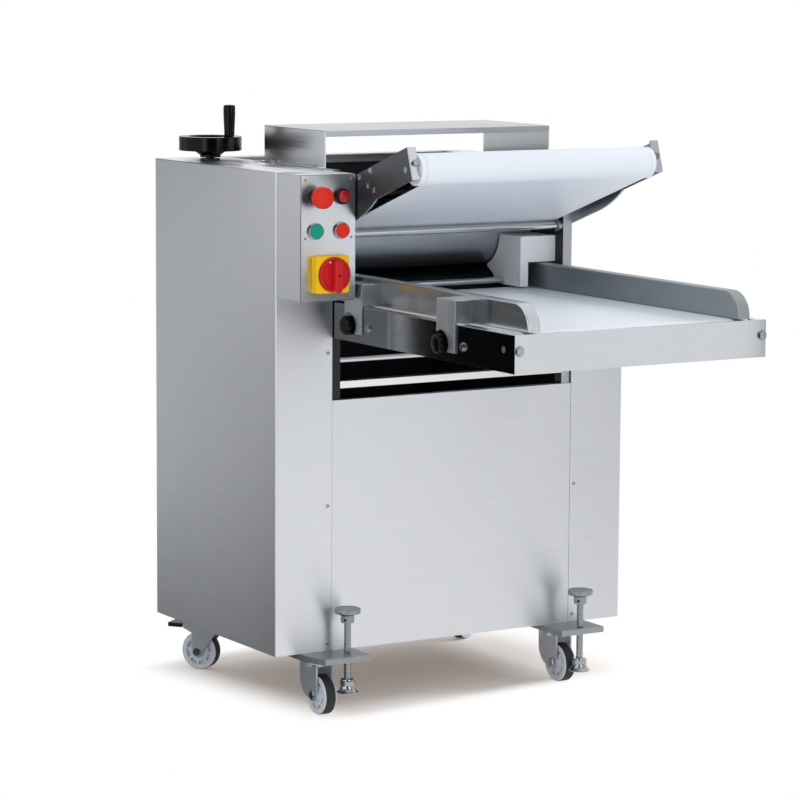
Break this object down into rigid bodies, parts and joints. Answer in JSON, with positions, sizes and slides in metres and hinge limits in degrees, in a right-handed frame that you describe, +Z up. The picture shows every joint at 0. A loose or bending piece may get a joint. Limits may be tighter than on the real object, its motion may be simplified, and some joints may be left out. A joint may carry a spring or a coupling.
{
  "type": "dough press",
  "caption": "Floor-standing dough press on casters: a table belt and an inclined return belt feed two geared rollers whose gap a handwheel sets.",
  "frame": {"origin": "on the floor under the middle of the bounding box, casters standing on it", "axes": "+X to the right seen from the table end, +Y from the table towards the cabinet, +Z up"},
  "size_m": [0.776, 1.1384, 1.1258],
  "materials": {
    "stainless_sheet": "fine level brush lines",
    "frame_steel": "ground plate",
    "polished_steel": "polished",
    "roller_steel": "ground and polished",
    "bearing_iron": "painted casting",
    "machined_steel": "turned",
    "motor_paint": "satin paint",
    "guide_steel": "matt sheet",
    "belt_white": "smooth food belt",
    "black_bakelite": "gloss",
    "black_plastic": "satin",
    "red_plastic": "gloss",
    "green_plastic": "gloss",
    "yellow_plastic": "satin",
    "fitting_chrome": "chrome rings and black collars",
    "zinc_steel": "zinc plated",
    "caster_wheel": "gray rim with dark tread"
  },
  "bodies": {
    "cabinet": {"base_plate": "frame_steel", "left_frame_plate": "frame_steel", "right_frame_plate": "frame_steel", "left_housing": "stainless_sheet", "right_housing": "stainless_sheet", "front_panel": "stainless_sheet", "rear_panel": "stainless_sheet", "top_bridge": "stainless_sheet", "cross_members": "polished_steel", "bearings": "bearing_iron", "drive_chains": "machined_steel", "return_chute": "stainless_sheet", "gear_motor": "motor_paint", "upper_frame": "stainless_sheet", "upper_belt": "belt_white", "table_frame": "stainless_sheet", "table_belt": "belt_white", "fasteners": "zinc_steel", "dough_guides": "guide_steel", "left_guard": "stainless_sheet", "right_guard": "stainless_sheet", "guard_brackets": "stainless_sheet", "control_box": "stainless_sheet", "control_face": "stainless_sheet", "panel_fittings": "fitting_chrome", "switch_plate": "yellow_plastic", "mounting_plates": "zinc_steel", "cable_gland": "black_plastic"},
    "roller_lift": {"lift_blocks": "bearing_iron"},
    "lower_roller": {"lower_roller": "roller_steel"},
    "upper_roller": {"upper_roller": "roller_steel"},
    "cross_shaft": {"cross_shaft": "machined_steel"},
    "handwheel": {"handwheel": "black_bakelite"},
    "handwheel_grip": {"handwheel_grip": "black_bakelite"},
    "motor_sprocket": {"motor_sprocket": "machined_steel"},
    "counter_shaft": {"counter_shaft": "machined_steel"},
    "upper_front_roller": {"upper_front_roller": "machined_steel"},
    "upper_rear_roller": {"upper_rear_roller": "machined_steel"},
    "table_front_roller": {"table_front_roller": "machined_steel"},
    "table_rear_roller": {"table_rear_roller": "machined_steel"},
    "front_guard_knob": {"front_guard_knob": "black_bakelite"},
    "rear_guard_knob": {"rear_guard_knob": "black_bakelite"},
    "estop_head": {"estop_head": "red_plastic"},
    "start_button": {"start_button": "green_plastic"},
    "stop_button": {"stop_button": "red_plastic"},
    "switch_dial": {"switch_dial": "red_plastic"},
    "front_left_fork": {"front_left_fork": "zinc_steel"},
    "front_left_wheel": {"front_left_wheel": "caster_wheel"},
    "front_right_fork": {"front_right_fork": "zinc_steel"},
    "front_right_wheel": {"front_right_wheel": "caster_wheel"},
    "rear_left_fork": {"rear_left_fork": "zinc_steel"},
    "rear_left_wheel": {"rear_left_wheel": "caster_wheel"},
    "rear_right_fork": {"rear_right_fork": "zinc_steel"},
    "rear_right_wheel": {"rear_right_wheel": "caster_wheel"},
    "rear_left_pedal": {"rear_left_pedal": "black_plastic"},
    "rear_right_pedal": {"rear_right_pedal": "black_plastic"},
    "left_jack_foot": {"left_jack_foot": "zinc_steel"},
    "left_jack_screw": {"left_jack_screw": "zinc_steel"},
    "right_jack_foot": {"right_jack_foot": "zinc_steel"},
    "right_jack_screw": {"right_jack_screw": "zinc_steel"}
  },
  "joints": [
    {"name": "roller_lift_slide", "type": "slide", "parent": "cabinet", "child": "roller_lift", "axis": [0, 0, 1], "range_m": [-0.002, 0.017]},
    {"name": "handwheel_turn", "type": "hinge", "parent": "cabinet", "child": "handwheel", "pos_m": [-0.327, 0.41864, 1.018], "axis": [0, 0, 1], "range_deg": [-172.9, 1462]},
    {"name": "cross_shaft_turn", "type": "hinge", "parent": "cabinet", "child": "cross_shaft", "pos_m": [0, 0.37384, 0.958], "axis": [1, 0, 0], "range_deg": [-48.9, 5.93]},
    {"name": "grip_spin", "type": "hinge", "parent": "handwheel", "child": "handwheel_grip", "pos_m": [-0.30634, 0.37979, 1.098], "axis": [0, 0, 1], "continuous": true},
    {"name": "lower_roller_spin", "type": "hinge", "parent": "cabinet", "child": "lower_roller", "pos_m": [0, 0.22484, 0.745], "axis": [1, 0, 0], "continuous": true},
    {"name": "upper_roller_spin", "type": "hinge", "parent": "roller_lift", "child": "upper_roller", "pos_m": [0, 0.22484, 0.881], "axis": [1, 0, 0], "continuous": true},
    {"name": "motor_spin", "type": "hinge", "parent": "cabinet", "child": "motor_sprocket", "pos_m": [0, 0.28884, 0.318], "axis": [1, 0, 0], "continuous": true},
    {"name": "counter_spin", "type": "hinge", "parent": "cabinet", "child": "counter_shaft", "pos_m": [0, 0.10681, 0.86632], "axis": [1, 0, 0], "continuous": true},
    {"name": "upper_rear_spin", "type": "hinge", "parent": "cabinet", "child": "upper_rear_roller", "pos_m": [0, 0.10681, 0.92632], "axis": [1, 0, 0], "continuous": true},
    {"name": "upper_front_spin", "type": "hinge", "parent": "cabinet", "child": "upper_front_roller", "pos_m": [0, -0.21316, 1.034], "axis": [1, 0, 0], "continuous": true},
    {"name": "table_rear_spin", "type": "hinge", "parent": "cabinet", "child": "table_rear_roller", "pos_m": [0, 0.12284, 0.747], "axis": [1, 0, 0], "continuous": true},
    {"name": "table_front_spin", "type": "hinge", "parent": "cabinet", "child": "table_front_roller", "pos_m": [0, -0.52816, 0.747], "axis": [1, 0, 0], "continuous": true},
    {"name": "front_knob_turn", "type": "hinge", "parent": "cabinet", "child": "front_guard_knob", "pos_m": [-0.266, -0.33116, 0.738], "axis": [-1, 0, 0], "range_deg": [0, 720]},
    {"name": "rear_knob_turn", "type": "hinge", "parent": "cabinet", "child": "rear_guard_knob", "pos_m": [-0.266, -0.01216, 0.738], "axis": [-1, 0, 0], "range_deg": [0, 720]},
    {"name": "estop_press", "type": "slide", "parent": "cabinet", "child": "estop_head", "axis": [0, 1, 0], "range_m": [0, 0.004]},
    {"name": "start_press", "type": "slide", "parent": "cabinet", "child": "start_button", "axis": [0, 1, 0], "range_m": [0, 0.003], "stiffness_N_per_m": 400},
    {"name": "stop_press", "type": "slide", "parent": "cabinet", "child": "stop_button", "axis": [0, 1, 0], "range_m": [0, 0.003], "stiffness_N_per_m": 400},
    {"name": "switch_turn", "type": "hinge", "parent": "cabinet", "child": "switch_dial", "pos_m": [-0.331, -0.04416, 0.838], "axis": [0, -1, 0], "range_deg": [-90, 0]},
    {"name": "front_left_swivel", "type": "hinge", "parent": "cabinet", "child": "front_left_fork", "pos_m": [-0.29, 0.07084, 0.0975], "axis": [0, 0, 1], "range_deg": [-270, 0]},
    {"name": "front_left_roll", "type": "hinge", "parent": "front_left_fork", "child": "front_left_wheel", "pos_m": [-0.29, 0.04684, 0.0375], "axis": [-1, 0, 0], "continuous": true},
    {"name": "front_right_swivel", "type": "hinge", "parent": "cabinet", "child": "front_right_fork", "pos_m": [0.259, 0.08484, 0.0975], "axis": [0, 0, 1], "continuous": true},
    {"name": "front_right_roll", "type": "hinge", "parent": "front_right_fork", "child": "front_right_wheel", "pos_m": [0.259, 0.06084, 0.0375], "axis": [-1, 0, 0], "continuous": true},
    {"name": "rear_left_swivel", "type": "hinge", "parent": "cabinet", "child": "rear_left_fork", "pos_m": [-0.288, 0.48684, 0.0975], "axis": [0, 0, 1], "continuous": true},
    {"name": "rear_left_roll", "type": "hinge", "parent": "rear_left_fork", "child": "rear_left_wheel", "pos_m": [-0.30244, 0.50601, 0.0375], "axis": [0.7986, 0.6018, 0], "continuous": true},
    {"name": "rear_left_pedal_tilt", "type": "hinge", "parent": "rear_left_fork", "child": "rear_left_pedal", "pos_m": [-0.31809, 0.52677, 0.088], "axis": [0.7986, 0.6018, 0], "range_deg": [0, 12]},
    {"name": "rear_right_swivel", "type": "hinge", "parent": "cabinet", "child": "rear_right_fork", "pos_m": [0.288, 0.48684, 0.0975], "axis": [0, 0, 1], "continuous": true},
    {"name": "rear_right_roll", "type": "hinge", "parent": "rear_right_fork", "child": "rear_right_wheel", "pos_m": [0.30878, 0.49884, 0.0375], "axis": [0.5, -0.866, 0], "continuous": true},
    {"name": "rear_right_pedal_tilt", "type": "hinge", "parent": "rear_right_fork", "child": "rear_right_pedal", "pos_m": [0.3313, 0.51184, 0.088], "axis": [0.5, -0.866, 0], "range_deg": [0, 12]},
    {"name": "left_jack_slide", "type": "slide", "parent": "cabinet", "child": "left_jack_foot", "axis": [0, 0, 1], "range_m": [-0.043, 0.037]},
    {"name": "left_jack_turn", "type": "hinge", "parent": "left_jack_foot", "child": "left_jack_screw", "pos_m": [-0.254, 0.01284, 0.15], "axis": [0, 0, 1], "range_deg": [-7739, 6659]},
    {"name": "right_jack_slide", "type": "slide", "parent": "cabinet", "child": "right_jack_foot", "axis": [0, 0, 1], "range_m": [-0.031, 0.049]},
    {"name": "right_jack_turn", "type": "hinge", "parent": "right_jack_foot", "child": "right_jack_screw", "pos_m": [0.262, -0.00116, 0.15], "axis": [0, 0, 1], "range_deg": [-5579, 8819]}
  ],
  "couplings": [
    {"joint": "handwheel_turn", "follows": "roller_lift_slide", "rad_per_m": 1500},
    {"joint": "cross_shaft_turn", "follows": "roller_lift_slide", "rad_per_m": -50},
    {"joint": "upper_roller_spin", "follows": "lower_roller_spin", "ratio": -1},
    {"joint": "motor_spin", "follows": "lower_roller_spin", "ratio": 1.5},
    {"joint": "counter_spin", "follows": "lower_roller_spin", "ratio": 2.2931},
    {"joint": "upper_rear_spin", "follows": "lower_roller_spin", "ratio": -2.2931},
    {"joint": "upper_front_spin", "follows": "lower_roller_spin", "ratio": -2.2931},
    {"joint": "table_rear_spin", "follows": "lower_roller_spin", "ratio": 2.2931},
    {"joint": "table_front_spin", "follows": "lower_roller_spin", "ratio": 2.2931},
    {"joint": "left_jack_slide", "follows": "left_jack_turn", "m_per_rad": 0.00031831},
    {"joint": "right_jack_slide", "follows": "right_jack_turn", "m_per_rad": 0.00031831}
  ]
}
